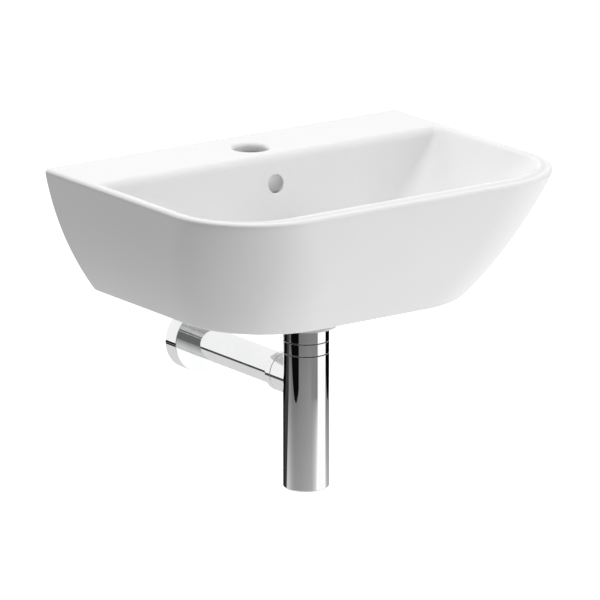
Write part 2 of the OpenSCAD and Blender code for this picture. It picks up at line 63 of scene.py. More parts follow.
# Basin, in millimetres; a drop is a depth below the rim
RIM_Z = 60
BASIN_W, BASIN_D, SKIRT_H = 410, 304, 126.7
BASE_W, BASE_D = 298, 237.7
RIM_CORNER_R, BASE_CORNER_R, CORNER_SWELL = 89, 85, 13
SKIRT_BULGE = math.radians(13)
RIM_SIDE, RIM_FRONT, EDGE_R, LIP_R = 9.5, 21.5, 4, 3
DECK_D, DECK_EDGE_R, DECK_T = 80, 7, 14
WALL_T, BACK_T = 8, 12
BOWL_CORNER_R, BOWL_BACK_R, BOWL_DEPTH = 70, 5, 90
BOWL_WALL_R, BOWL_WALL_START = 380, math.radians(30.5)
BOWL_BLEND_DROP, BOWL_BLEND_R, BOWL_FLOOR_END = 73, 40, math.radians(87)
BACK_LEAN, BACK_BLEND_R = 9, 13
BACK_CORNER_RATE, FRONT_CORNER_RATE = 0.35, 0.12
FOOT_R = 2.4
ROOF_DROP, POCKET_W = 38, 366
PAD, PAD_R = 31, 26

# Holes in the basin
TAP_HOLE_D, TAP_BACK, TAP_LIP_R = 33, 43.4, 4.5
OVERFLOW_D, OVERFLOW_DROP, OVERFLOW_LIP_R, OVERFLOW_FLARE, OVERFLOW_WALL = 17.6, 27.3, 1.2, 6, 7
WASTE_HOLE_D, WASTE_BACK, WASTE_LIP_R = 46, 133, 0.6
SEAT_D, SEAT_DEPTH, SEAT_LIP_R = 60, 5.5, 1.5
FIXING_HOLE_D, FIXING_X, FIXING_DROP, FIXING_LIP_R = 18, 100, 60, 1
BOSS_D, BOSS_DROP, BOSS_EDGE_R, BOSS_FLARE_R = 60, 152, 3, 6
DUCT_W, DUCT_FRONT, DUCT_DEPTH, DUCT_WALL = 36, 79, 7, 5
DUCT_TOP, DUCT_FLOOR = 18, 126
MOUTH_W, MOUTH_TOP, MOUTH_REACH = 28, 108, 113
CASING_R = 4

# How far cutters run past a wall, above their mouth and aside of it, and how deep joined solids overlap
CUT_PAST, CUT_ABOVE, CUT_ASIDE, OVERLAP = 4, 3, 0.4, 1

# Painted shade in the ceramic's colour, each with the stretch over which it sets in and the one where it
# ends:
# depths below the mouths of the two holes, whose walls darken with depth, and insets from the outer edge
# of the rim's front, whose flat top is greyed between its edges
TAP_GREY_START, TAP_GREY_END, TAP_GREYNESS = (6.2, 10.2), (30, 31), 0.74
OVERFLOW_GREY_START, OVERFLOW_GREY_END, OVERFLOW_GREYNESS = (0.7, 1.3), (8, 8.5), 0.24
RIM_GREY_START, RIM_GREY_END, RIM_GREYNESS = (5, 8), (13, 16), 0.13
# The rim's painted shade keeps to the flat top and grows with the distance from the wall
RIM_GREY_DROP, RIM_GREY_FRONT = (0.3, 0.05), (150, 220)
# How far outside a hole's own radius its painted shade fades
SHADE_BLUR = 0.1
# Where the glaze ends along +Y from the wall, and how far that line wanders
GLAZE_END, GLAZE_WANDER = (-0.6, 0.2), 1.2

# Metal, in millimetres
TRAP_D, TRAP_WALL, TRAP_DROP, TRAP_EDGE_R = 43.6, 1.8, 312.6, 3
BARREL_D = 38
BACKNUT_TOP, COUPLING_TOP, TRAP_TOP = 154.6, 167.8, 179.6
SEAM, NUT_SEAM, SEAM_R = 0.9, 0.3, 0.15
# The seam over the coupling nut starts a little above that joint, and the chrome stays bright a little way
# into every seam before painted shade darkens it
SEAM_RISE, SEAM_BRIGHT, SEAM_BLUR = 0.1, 0.3, 0.05
# Clearances between the metal parts
FIT, NECK_FIT, COLLAR_FIT, PIPE_FIT = 0.05, 0.3, 0.1, 0.3
COLLAR_TOP, COLLAR_T, COLLAR_D, NECK_D = 175.5, 2, 37.2, 34
DIP_D, HEAD_T = 28, 3.2
PLUG_BORE, PLUG_SEAT_D, PLUG_SEAT_H, PLUG_LAND = 33, 37.2, 3, 6
OUTLET_DROP, PIPE_D, PIPE_WALL, PIPE_REACH = 207.6, 32, 1.2, 72
NUT_BACK, NUT_L, NUT_D, NUT_R, NUT_LIP = 92.5, 8.4, 38.8, 0.8, 2
SPIGOT_D, SPIGOT_L = 35.6, 4.4
OUTLET_STOP, PORT_STEP = 112, 1.8
MARK_BACK, MARK_W, MARK_DEPTH = 15, 0.5, 0.2
FLANGE_Y, FLANGE_T, FLANGE_D, FLANGE_R = 38.2, 17.6, 62, 0.5
FLANGE_FACE, FLANGE_WALL, FLANGE_SEAL_D, FLANGE_RING = 2, 1.5, 37, 4
SPRING_D, SPRING_WIRE, SPRING_TURNS, PLUG_TRAVEL = 10.4, 0.9, 8, 9

# Finer steps than the construction's own, for the render
ROUND = 192
BACK_STEPS, BACK_CORNER_STEPS, SIDE_STEPS, FRONT_CORNER_STEPS, FRONT_STEPS = 10, 10, 14, 36, 14
LIP_STEPS, WALL_STEPS, BLEND_STEPS, FLOOR_STEPS, SKIRT_STEPS, INNER_STEPS = 8, 20, 14, 10, 36, 8
CORNER_STEPS, WIRE_AROUND, WIRE_SIDES = 6, 36, 10
# Edges that bend by more than these degrees stay sharp
SHARP, SHARP_METAL = 32, 20
# A rounded corner takes up nearly half of its sides at most, and one that is all but straight keeps
# its point
SIDE_SHARE, STRAIGHT = 0.49, math.radians(88)
# Points of a lathe that lie closer than this, in metres, are joined
JOIN = 0.0000001


def level(drop):
    """The height of a depth below the rim."""
    return RIM_Z - drop


def make_camera():
    turn, tilt = math.radians(TURN), math.radians(TILT)
    forward = Vector((math.sin(turn) * math.cos(tilt), math.cos(turn) * math.cos(tilt), -math.sin(tilt)))
    right = Vector((math.cos(turn), -math.sin(turn), 0))
    up = right.cross(forward)
    data = bpy.data.cameras.new("camera")
    data.sensor_width = SENSOR
    data.lens = FOCAL_PX * SENSOR / FRAME_PX
    data.clip_end = 100
    camera = bpy.data.objects.new("camera", data)
    camera.location = right * AIM_RIGHT + up * AIM_UP - forward * DISTANCE + Vector((0, 0, RIM_Z * MM))
    camera.rotation_mode = "QUATERNION"
    camera.rotation_quaternion = forward.to_track_quat("-Z", "Y")
    bpy.context.scene.collection.objects.link(camera)
    bpy.context.scene.camera = camera


# Meshes

def new_object(name, mesh):
    obj = bpy.data.objects.new(name, mesh)
    bpy.context.scene.collection.objects.link(obj)
    return obj


def smooth(mesh, sharp=SHARP):
    mesh.shade_smooth()
    mesh.set_sharp_from_angle(angle=math.radians(sharp))


def even_normals(obj):
    modifier = obj.modifiers.new("even_normals", "WEIGHTED_NORMAL")
    modifier.keep_sharp = True


def finished(bm, name):
    """The mesh that a bmesh describes."""
    mesh = bpy.data.meshes.new(name)
    bm.to_mesh(mesh)
    bm.free()
    return mesh


def corner_arc(before, corner, after, radius):
    """Points of the arc that rounds one corner of an outline."""
    to_before, to_after = before - corner, after - corner
    reach = SIDE_SHARE * min(to_before.length, to_after.length)
    to_before.normalize()
    to_after.normalize()
    half = to_before.angle(to_after) / 2
    if half > STRAIGHT:
        return [corner]
    radius = min(radius, reach * math.tan(half))
    centre = corner + (to_before + to_after).normalized() * radius / math.sin(half)
    first = corner + to_before * radius / math.tan(half) - centre
    last = corner + to_after * radius / math.tan(half) - centre
    turn = first.angle_signed(last)
    rotations = [Matrix.Rotation(-turn * i / CORNER_STEPS, 2) for i in range(CORNER_STEPS + 1)]
    return [centre + r @ first for r in rotations]


def rounded(outline):
    """A closed outline of (radius, height, corner radius) points with its corners rounded."""
    points = []
    for i, (x, z, r) in enumerate(outline):
        corner = Vector((x, z))
        before = Vector(outline[i - 1][:2])
        after = Vector(outline[(i + 1) % len(outline)][:2])
        points += corner_arc(before, corner, after, r) if r > 0 else [corner]
    return points


def lathe(outline, where):
    """A solid turned from a closed outline in millimetres, which runs anticlockwise and is rounded."""
    points = rounded(outline)
    bm = bmesh.new()
    rings = []
    for i in range(ROUND):
        a = 2 * math.pi * i / ROUND
        x, y = math.cos(a) * MM, math.sin(a) * MM
        rings.append([bm.verts.new((p.x * x, p.x * y, p.y * MM)) for p in points])
    for i, row in enumerate(rings):
        after = rings[(i + 1) % ROUND]
        for j in range(len(points)):
            k = (j + 1) % len(points)
            if points[j].x > 0 or points[k].x > 0:
                bm.faces.new((row[j], after[j], after[k], row[k]))
    bmesh.ops.remove_doubles(bm, verts=bm.verts, dist=JOIN)
    bmesh.ops.recalc_face_normals(bm, faces=bm.faces)
    bm.transform(where)
    return finished(bm, "lathe")


def block(low, high):
    """A box between two corners in millimetres."""
    bm = bmesh.new()
    bmesh.ops.create_cube(bm, size=1)
    low, high = Vector(low) * MM, Vector(high) * MM
    size = high - low
    bm.transform(Matrix.Translation((low + high) / 2) @ Matrix.Diagonal((*size, 1)))
    return finished(bm, "block")


def upright_box(width, front, back, top, bottom, r):
    """A box between two levels with rounded upright edges, centred on x = 0."""
    outline = []
    for cx, cy, start in (
        (width / 2 - r, -back - r, 0),
        (r - width / 2, -back - r, 90),
        (r - width / 2, r - front, 180),
        (width / 2 - r, r - front, 270),
    ):
        for i in range(CORNER_STEPS + 1):
            a = math.radians(start + 90 * i / CORNER_STEPS)
            outline.append((cx + r * math.cos(a), cy + r * math.sin(a)))
    bm = bmesh.new()
    low = [bm.verts.new((x * MM, y * MM, level(bottom) * MM)) for x, y in outline]
    high = [bm.verts.new((x * MM, y * MM, level(top) * MM)) for x, y in outline]
    bm.faces.new(low[::-1])
    bm.faces.new(high)
    for i in range(len(outline)):
        k = (i + 1) % len(outline)
        bm.faces.new((low[i], low[k], high[k], high[i]))
    return finished(bm, "upright_box")


def combine(obj, mesh, operation):
    """Adds a mesh to an object or cuts it away, and keeps the result."""
    other = new_object("tool", mesh)
    modifier = obj.modifiers.new("combine", "BOOLEAN")
    modifier.operation = operation
    modifier.solver = "EXACT"
    modifier.object = other
    graph = bpy.context.evaluated_depsgraph_get()
    result = bpy.data.meshes.new_from_object(obj.evaluated_get(graph))
    obj.modifiers.remove(modifier)
    obj.data = result
    bpy.data.objects.remove(other)


def at(x, y, drop, tilt=0):
    """A place below the rim whose height points up, turned by tilt degrees about X."""
    shift = Matrix.Translation(Vector((x, y, level(drop))) * MM)
    return shift @ Matrix.Rotation(math.radians(tilt), 4, "X")


AT_WASTE = Matrix.Translation((0, -WASTE_BACK * MM, 0))
OUTLET_CENTRE = Matrix.Translation((0, 0, level(OUTLET_DROP) * MM))
# Turns a lathe's height into the distance along +Y on the outlet's axis
ALONG_OUTLET = OUTLET_CENTRE @ Matrix.Rotation(math.radians(-90), 4, "X")


# The basin's shape, as rings at one level each

ARC_H = SKIRT_H - EDGE_R
SIDE_INSET = (BASIN_W - BASE_W) / 2
FRONT_INSET = BASIN_D - BASE_D


def arc_inset(drop, radius, start):
    """How far an arc that sets off at a slant has moved inwards at a depth below its start."""
    return radius * (math.cos(start) - math.sqrt(1 - (math.sin(start) + drop / radius) ** 2))


def edge_inset(drop, radius):
    """How far a rounded edge stands back at a depth below its top."""
    return 0 if drop >= radius else radius - math.sqrt(radius**2 - (radius - drop) ** 2)


def skirt_inset(drop, inset):
    radius = math.hypot(ARC_H, inset) / (2 * math.sin(SKIRT_BULGE))
    start = math.atan(inset / ARC_H) - SKIRT_BULGE
    return arc_inset(max(0, drop - EDGE_R), radius, start)


BLEND_START = math.asin(math.sin(BOWL_WALL_START) + BOWL_BLEND_DROP / BOWL_WALL_R)
FLOOR_DROP = BOWL_BLEND_DROP + BOWL_BLEND_R * (math.sin(BOWL_FLOOR_END) - math.sin(BLEND_START))
BACK_BLEND_DROP = BOWL_DEPTH - BACK_BLEND_R


def bowl_inset(drop):
    inset = arc_inset(min(drop, BOWL_BLEND_DROP), BOWL_WALL_R, BOWL_WALL_START)
    if drop > BOWL_BLEND_DROP:
        inset += arc_inset(min(drop, FLOOR_DROP) - BOWL_BLEND_DROP, BOWL_BLEND_R, BLEND_START)
    return inset


def bowl_back(drop):
    back = DECK_D + BACK_LEAN * math.sin(math.pi / 2 * min(1, drop / BACK_BLEND_DROP))
    if drop > BACK_BLEND_DROP:
        rest = max(0, BACK_BLEND_R**2 - (drop - BACK_BLEND_DROP) ** 2)
        back += BACK_BLEND_R - math.sqrt(rest)
    return back


def overflow_lean():
    """How far the bowl's back wall leans at the overflow hole."""
    return math.atan((bowl_back(OVERFLOW_DROP + 1) - bowl_back(OVERFLOW_DROP - 1)) / 2)


def half_ring(half_w, back, front, back_r, front_r):
    """The outline from the middle of the back to the middle of the front, on the +X side."""
    points = [((half_w - back_r) * i / BACK_STEPS, -back) for i in range(BACK_STEPS)]
    for i in range(BACK_CORNER_STEPS + 1):
        a = math.radians(90 - 90 * i / BACK_CORNER_STEPS)
        points.append((half_w - back_r + back_r * math.cos(a), -back - back_r + back_r * math.sin(a)))
    for i in range(1, SIDE_STEPS):
        t = i / SIDE_STEPS
        points.append((half_w, -(back + back_r) * (1 - t) - (front - front_r) * t))
    for i in range(FRONT_CORNER_STEPS + 1):
        a = math.radians(-90 * i / FRONT_CORNER_STEPS)
        points.append((half_w - front_r + front_r * math.cos(a), -front + front_r + front_r * math.sin(a)))
    points += [((half_w - front_r) * (1 - i / FRONT_STEPS), -front) for i in range(1, FRONT_STEPS + 1)]
    return points


def ring(half_w, back, front, back_r, front_r, drop):
    """The whole outline at one level, in metres."""
    half = half_ring(half_w, back, front, back_r, front_r)
    outline = half + [(-x, y) for x, y in half[-2:0:-1]]
    return [Vector((x, y, level(drop))) * MM for x, y in outline]


def bowl_ring(drop):
    inset, lip = bowl_inset(drop), edge_inset(drop, LIP_R)
    return ring(
        BASIN_W / 2 - RIM_SIDE - inset + lip,
        bowl_back(drop) - edge_inset(drop, DECK_EDGE_R),
        BASIN_D - RIM_FRONT - inset + lip,
        BOWL_BACK_R + BACK_CORNER_RATE * drop,
        BOWL_CORNER_R - FRONT_CORNER_RATE * inset + lip,
        drop,
    )


def bowl_outer_ring(drop):
    d = drop - WALL_T
    inset = bowl_inset(d)
    return ring(
        BASIN_W / 2 - RIM_SIDE - inset + WALL_T,
        bowl_back(d) - WALL_T,
        BASIN_D - RIM_FRONT - inset + WALL_T,
        BOWL_BACK_R + BACK_CORNER_RATE * d + WALL_T,
        BOWL_CORNER_R - FRONT_CORNER_RATE * inset + WALL_T,
        drop,
    )


def corner_r(drop):
    share = drop / SKIRT_H
    return RIM_CORNER_R + (BASE_CORNER_R - RIM_CORNER_R) * share + CORNER_SWELL * math.sin(math.pi * share)


def skirt_ring(drop, inwards=0, back=0, square_r=1):
    """The skirt's outline, moved inwards, with its back edge at its own distance from the wall."""
    return ring(
        BASIN_W / 2 - skirt_inset(drop, SIDE_INSET) - inwards,
        back,
        BASIN_D - skirt_inset(drop, FRONT_INSET) - inwards,
        square_r,
        corner_r(drop) - inwards,
        drop,
    )


def pad_ring(drop):
    return ring(PAD, WASTE_BACK - PAD, WASTE_BACK + PAD, PAD_R, PAD_R, drop)


def between(a, b, t, drop):
    """A ring part of the way from one to another, at a level of its own."""
    points = [p.lerp(q, t) for p, q in zip(a, b)]
    return [Vector((p.x, p.y, level(drop) * MM)) for p in points]


def steps_between(first, last, count):
    """Evenly spaced values after first, up to and including last."""
    return [first + (last - first) * i / count for i in range(1, count + 1)]


def arc_levels(first, last, count):
    """Values after first up to last that lie close together near last."""
    return [first + (last - first) * math.sin(math.pi / 2 * i / count) for i in range(1, count + 1)]


def lip_levels(radius, count):
    """Values from radius down to 0 that step evenly round a quarter circle."""
    return [radius * (1 - math.sin(math.pi / 2 * i / count)) for i in range(1, count + 1)]


def floor_rings(edge, first, last, count):
    """Rings over a dished floor, from its edge to the pad round the waste."""
    pad = pad_ring(last)
    rings = []
    for i in range(1, count + 1):
        t = i / count
        rings.append(between(edge, pad, t, first + (last - first) * (1 - (1 - t) ** 2)))
    return rings


def skin_rings():
    """The whole casting as one skin: up the bowl, over the rim, down the skirt and back underneath."""
    inside = floor_rings(bowl_ring(FLOOR_DROP), FLOOR_DROP, BOWL_DEPTH, FLOOR_STEPS)[::-1]
    inside += [bowl_ring(d) for d in arc_levels(BOWL_BLEND_DROP, FLOOR_DROP, BLEND_STEPS)[::-1]]
    inside += [bowl_ring(d) for d in steps_between(DECK_EDGE_R, BOWL_BLEND_DROP, WALL_STEPS)[::-1]]
    lips = sorted({DECK_EDGE_R, *lip_levels(DECK_EDGE_R, LIP_STEPS), LIP_R, *lip_levels(LIP_R, LIP_STEPS)})
    inside += [bowl_ring(max(0, d)) for d in lips[::-1]]
    rim = [skirt_ring(d, edge_inset(d, EDGE_R)) for d in lip_levels(EDGE_R, LIP_STEPS)[::-1]]
    skirt = [skirt_ring(d) for d in steps_between(EDGE_R, SKIRT_H - FOOT_R, SKIRT_STEPS)]
    foot = [
        skirt_ring(SKIRT_H - d, edge_inset(d, FOOT_R), edge_inset(d, FOOT_R))
        for d in lip_levels(FOOT_R, LIP_STEPS)
    ]
    inner = [
        skirt_ring(SKIRT_H - d, WALL_T - edge_inset(d, FOOT_R), BACK_T - edge_inset(d, FOOT_R), WALL_T)
        for d in lip_levels(FOOT_R, LIP_STEPS)[::-1]
    ]
    rising = steps_between(SKIRT_H - FOOT_R, ROOF_DROP, INNER_STEPS)
    inner += [skirt_ring(d, WALL_T, BACK_T, WALL_T) for d in rising]
    falling = [ROOF_DROP] + steps_between(ROOF_DROP, BOWL_BLEND_DROP + WALL_T, WALL_STEPS)
    outside = [bowl_outer_ring(d) for d in falling]
    outside += [bowl_outer_ring(d + WALL_T) for d in arc_levels(BOWL_BLEND_DROP, FLOOR_DROP, BLEND_STEPS)]
    under = FLOOR_DROP + WALL_T
    outside += floor_rings(bowl_outer_ring(under), under, BOWL_DEPTH + WALL_T, FLOOR_STEPS)
    return inside + rim + skirt + foot + inner + outside


def skin(rings):
    """A closed mesh that runs from ring to ring."""
    bm = bmesh.new()
    rows = [[bm.verts.new(p) for p in r] for r in rings]
    count = len(rows[0])
    bm.faces.new(rows[0])
    bm.faces.new(rows[-1][::-1])
    for low, high in zip(rows, rows[1:]):
        for j in range(count):
            k = (j + 1) % count
            bm.faces.new((low[j], high[j], high[k], low[k]))
    bmesh.ops.recalc_face_normals(bm, faces=bm.faces)
    return finished(bm, "skin")


def trumpet(diameter, lip_r, depth, where, flare=0):
    """A cutter for a round hole with a rounded lip, whose height runs out of the surface from 0.

    With a flare the bore widens inwards, past a straight stretch of three times the lip's radius.
    """
    r = diameter / 2
    outline = [(0, CUT_ABOVE), (0, -depth), (r + flare, -depth)]
    if flare:
        outline.append((r, -3 * lip_r))
    for i in range(LIP_STEPS + 1):
        a = math.radians(180 - 90 * i / LIP_STEPS)
        outline.append((r + lip_r + lip_r * math.cos(a), -lip_r + lip_r * math.sin(a)))
    outline.append((r + lip_r + CUT_ASIDE, CUT_ABOVE))
    return lathe([(x, z, 0) for x, z in outline], where)


def make_basin():
    obj = new_object("basin_ceramic", skin(skin_rings()))
    pocket_front = DUCT_FRONT - DUCT_DEPTH
    low, high = level(ROOF_DROP + OVERLAP), level(DECK_T)
    combine(obj, block((-POCKET_W / 2, -pocket_front, low), (POCKET_W / 2, -BACK_T, high)), "DIFFERENCE")
    flare = BOSS_D / 2 + BOSS_FLARE_R
    boss = [
        (0, level(BOSS_DROP), 0), (BOSS_D / 2, level(BOSS_DROP), BOSS_EDGE_R),
        (BOSS_D / 2, level(BOWL_DEPTH + WALL_T), BOSS_FLARE_R), (flare, level(BOWL_DEPTH + WALL_T), 0),
        (flare, level(BOWL_DEPTH + WALL_T / 2), 0), (0, level(BOWL_DEPTH + WALL_T / 2), 0),
    ]
    combine(obj, lathe(boss, AT_WASTE), "UNION")
    back = pocket_front - DUCT_WALL
    casing_w, bottom = DUCT_W + 2 * DUCT_WALL, DUCT_FLOOR + DUCT_WALL
    for casing in (
        upright_box(casing_w, DUCT_FRONT, back, DECK_T - OVERLAP, BACK_BLEND_DROP + OVERLAP, CASING_R),
        upright_box(casing_w, DUCT_FRONT + DUCT_WALL, back, BACK_BLEND_DROP, bottom, CASING_R),
        upright_box(MOUTH_W + 2 * DUCT_WALL, MOUTH_REACH, back, MOUTH_TOP - DUCT_WALL, bottom, CASING_R),
    ):
        combine(obj, casing, "UNION")

    overflow = at(0, -bowl_back(OVERFLOW_DROP), OVERFLOW_DROP, 90 - math.degrees(overflow_lean()))
    seat = at(0, -WASTE_BACK, BOWL_DEPTH)
    seat_floor = at(0, -WASTE_BACK, BOWL_DEPTH + SEAT_DEPTH)
    floor = level(DUCT_FLOOR)
    cutters = [
        trumpet(TAP_HOLE_D, TAP_LIP_R, DECK_T + CUT_PAST, at(0, -TAP_BACK, 0)),
        trumpet(OVERFLOW_D, OVERFLOW_LIP_R, OVERFLOW_WALL, overflow, OVERFLOW_FLARE),
        trumpet(SEAT_D, SEAT_LIP_R, SEAT_DEPTH, seat),
        trumpet(WASTE_HOLE_D, WASTE_LIP_R, BOSS_DROP - BOWL_DEPTH, seat_floor),
        block((-DUCT_W / 2, -DUCT_FRONT, floor), (DUCT_W / 2, -pocket_front, level(DUCT_TOP))),
        block((-MOUTH_W / 2, -MOUTH_REACH, floor), (MOUTH_W / 2, -pocket_front, level(MOUTH_TOP))),
    ]
    for x in (-FIXING_X, FIXING_X):
        cutters.append(trumpet(FIXING_HOLE_D, FIXING_LIP_R, BACK_T + CUT_PAST, at(x, 0, FIXING_DROP, -90)))
    for cutter in cutters:
        combine(obj, cutter, "DIFFERENCE")
    smooth(obj.data)
    even_normals(obj)
    return obj


# Chrome pieces, each turned from its section

def make_backnut():
    r = BARREL_D / 2 + FIT
    low, high = level(COUPLING_TOP - SEAM_RISE), level(BACKNUT_TOP)
    return lathe([
        (r, low, SEAM_R), (TRAP_D / 2, low, SEAM_R), (TRAP_D / 2, high, 1), (r, high, SEAM_R),
    ], AT_WASTE)


def make_coupling_nut():
    low, high = level(TRAP_TOP), level(COUPLING_TOP + SEAM - SEAM_RISE)
    inner, neck = BARREL_D / 2 + FIT, NECK_D / 2 + NECK_FIT
    ledge = level(COLLAR_TOP + COLLAR_T + COLLAR_FIT)
    return lathe([
        (neck, low, SEAM_R), (TRAP_D / 2, low, SEAM_R), (TRAP_D / 2, high, SEAM_R),
        (inner, high, SEAM_R), (inner, ledge, 0), (neck, ledge, 0),
    ], AT_WASTE)


def make_bottle():
    out = TRAP_D / 2
    cavity, cavity_end = out - TRAP_WALL, level(TRAP_DROP - PLUG_SEAT_H - PLUG_LAND)
    top, seat = level(TRAP_TOP + SEAM), level(TRAP_DROP - PLUG_SEAT_H)
    collar, head = level(COLLAR_TOP), level(TRAP_TOP + HEAD_T)
    bottle = lathe([
        (PLUG_SEAT_D / 2, level(TRAP_DROP), 0.3), (out, level(TRAP_DROP), TRAP_EDGE_R), (out, top, SEAM_R),
        (NECK_D / 2, top, 0), (NECK_D / 2, collar - COLLAR_T, 0), (COLLAR_D / 2, collar - COLLAR_T, 0),
        (COLLAR_D / 2, collar, 0), (DIP_D / 2, collar, 0), (DIP_D / 2, head, 0),
        (cavity, head, 1), (cavity, cavity_end, 1), (PLUG_BORE / 2, cavity_end, 0),
        (PLUG_BORE / 2, seat, 0), (PLUG_SEAT_D / 2, seat, 0),
    ], AT_WASTE)
    obj = new_object("trap_bottle_chrome", bottle)
    end = -(NUT_BACK + NUT_L)
    socket = lathe([
        (0, -WASTE_BACK, 0), (NUT_D / 2, -WASTE_BACK, 0), (NUT_D / 2, end, NUT_R), (SPIGOT_D / 2, end, 0),
        (SPIGOT_D / 2, end + SPIGOT_L, 0.4), (0, end + SPIGOT_L, 0),
    ], ALONG_OUTLET)
    hollow = lathe([
        (0, head, 0), (0, cavity_end, 0), (cavity, cavity_end, 1), (cavity, head, 1),
    ], AT_WASTE)
    port, pipe, mouth = PIPE_D / 2 - PORT_STEP, PIPE_D / 2 + FIT, end + SPIGOT_L + OVERLAP
    bore = lathe([
        (0, -WASTE_BACK, 0), (port, -WASTE_BACK, 0), (port, -OUTLET_STOP, 0), (pipe, -OUTLET_STOP, 0),
        (pipe, mouth, 0), (0, mouth, 0),
    ], ALONG_OUTLET)
    combine(obj, socket, "UNION")
    combine(obj, hollow, "DIFFERENCE")
    combine(obj, bore, "DIFFERENCE")
    return obj


def make_outlet_nut():
    near, far = -NUT_BACK, -(NUT_BACK + NUT_L) + NUT_SEAM
    wide, pipe = SPIGOT_D / 2 + FIT, PIPE_D / 2 + FIT
    return lathe([
        (wide, far, 0), (NUT_D / 2, far, SEAM_R), (NUT_D / 2, near, NUT_R), (pipe, near, SEAM_R),
        (pipe, near - NUT_LIP, 0), (wide, near - NUT_LIP, 0),
    ], ALONG_OUTLET)


def make_pipe():
    out, bore = PIPE_D / 2, PIPE_D / 2 - PIPE_WALL
    mark, stop = PIPE_REACH - MARK_BACK, PIPE_FIT - OUTLET_STOP
    return lathe([
        (bore, stop, 0.2), (out, stop, 0.4), (out, mark - MARK_W, 0.1),
        (out - MARK_DEPTH, mark - MARK_W, 0), (out - MARK_DEPTH, mark, 0), (out, mark, 0.1),
        (out, PIPE_REACH, 0.5), (bore, PIPE_REACH, 0.3),
    ], ALONG_OUTLET)


def make_flange():
    front, back = FLANGE_Y, FLANGE_Y + FLANGE_T
    inner = front + FLANGE_FACE
    bore, out, seal = PIPE_D / 2 + FIT, FLANGE_D / 2, FLANGE_SEAL_D / 2
    ring_end, ring_out, hollow = inner + FLANGE_RING, seal + FLANGE_WALL, out - FLANGE_WALL
    return lathe([
        (bore, front, 0), (bore, inner, 0), (seal, inner, 0), (seal, ring_end, 0.2),
        (ring_out, ring_end, 0.2), (ring_out, inner, 0.5),
        (hollow, inner, 1), (hollow, back, 0.3), (out, back, 0.3), (out, front, FLANGE_R),
    ], ALONG_OUTLET)


def make_spring(foot, length):
    """A coil of round wire that stands on its foot in metres, with its turns closer at both ends."""
    count = SPRING_TURNS * WIRE_AROUND
    wire = SPRING_WIRE / 2 * MM
    angles = [2 * math.pi * j / WIRE_SIDES for j in range(WIRE_SIDES)]
    up = Vector((0, 0, 1))
    bm = bmesh.new()
    rings = []
    for i in range(count + 1):
        u, a = i / count, 2 * math.pi * i / WIRE_AROUND
        z = wire + (length - 2 * wire) * (u - math.sin(2 * math.pi * u) / (4 * math.pi))
        out = Vector((math.cos(a), math.sin(a), 0))
        centre = foot + out * (SPRING_D / 2 * MM) + up * z
        around = [out * math.cos(b) + up * math.sin(b) for b in angles]
        rings.append([bm.verts.new(centre + wire * spoke) for spoke in around])
    for row, after in zip(rings, rings[1:]):
        for j in range(WIRE_SIDES):
            k = (j + 1) % WIRE_SIDES
            bm.faces.new((row[j], after[j], after[k], row[k]))
    bm.faces.new(rings[0])
    bm.faces.new(rings[-1][::-1])
    bmesh.ops.recalc_face_normals(bm, faces=bm.faces)
    return finished(bm, "coil")


def place(obj, body, *nodes, slot, material):
    """Rides a piece on its body in place of its CAD nodes and gives it its finish."""
    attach(obj, body)
    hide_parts(*nodes)
    obj.data.materials.clear()
    obj.data.materials.append(material)


# Nodes that the finishes and the studio share

# Most of a noise lies between these values
NOISE_LOW, NOISE_HIGH = 0.3, 0.7


def put(tree, value, socket):
    """Links a node's output to a socket, or writes a plain value there."""
    if isinstance(value, bpy.types.NodeSocket):
        tree.links.new(value, socket)
    else:
        socket.default_value = value


def maths(tree, operation, a, b=None):
    made = tree.nodes.new("ShaderNodeMath")
    made.operation = operation
    put(tree, a, made.inputs[0])
    if b is not None:
        put(tree, b, made.inputs[1])
    return made.outputs[0]


def across(tree, point, direction):
    """How far a point or a direction reaches along a direction."""
    made = tree.nodes.new("ShaderNodeVectorMath")
    made.operation = "DOT_PRODUCT"
    put(tree, point, made.inputs[0])
    put(tree, direction, made.inputs[1])
    return made.outputs["Value"]


def spread(tree, value, low, high, start=NOISE_LOW, end=NOISE_HIGH):
    """Maps what a value does between start and end to the range from low to high."""
    made = tree.nodes.new("ShaderNodeMapRange")
    for name, number in (("From Min", start), ("From Max", end), ("To Min", low), ("To Max", high)):
        made.inputs[name].default_value = number
    put(tree, value, made.inputs["Value"])
    return made.outputs["Result"]


def span(tree, value, start, end):
    """How far a value has come from start to end, held between 0 and 1."""
    return spread(tree, value, 0, 1, start, end)


def mixed(tree, share, first, second, kind="RGBA"):
    made = tree.nodes.new("ShaderNodeMix")
    made.data_type = kind
    put(tree, share, made.inputs["Factor"])
    put(tree, first, made.inputs["A"])
    put(tree, second, made.inputs["B"])
    return made.outputs["Result"]


def grey(tone):
    return (tone, tone, tone, 1)


# Finishes

def new_material(name):
    material = bpy.data.materials.new(name)
    material.use_nodes = True
    tree = material.node_tree
    return material, tree, tree.nodes["Principled BSDF"]


def noise(tree, scale, detail=3, stretch=(1, 1, 1)):
    """Noise that lies in the piece's own space, with its scale per metre."""
    where = tree.nodes.new("ShaderNodeTexCoord")
    mapping = tree.nodes.new("ShaderNodeMapping")
    mapping.inputs["Scale"].default_value = stretch
    texture = tree.nodes.new("ShaderNodeTexNoise")
    texture.inputs["Scale"].default_value = scale
    texture.inputs["Detail"].default_value = detail
    tree.links.new(where.outputs["Object"], mapping.inputs["Vector"])
    tree.links.new(mapping.outputs["Vector"], texture.inputs["Vector"])
    return texture.outputs["Fac"]


def tint(tree, value, first, second):
    """Maps a noise to a blend of two colours."""
    ramp = tree.nodes.new("ShaderNodeValToRGB")
    elements = ramp.color_ramp.elements
    for element, position, colour in zip(elements, (NOISE_LOW, NOISE_HIGH), (first, second)):
        element.position = position
        element.color = (*colour, 1)
    tree.links.new(value, ramp.inputs["Fac"])
    return ramp.outputs["Color"]


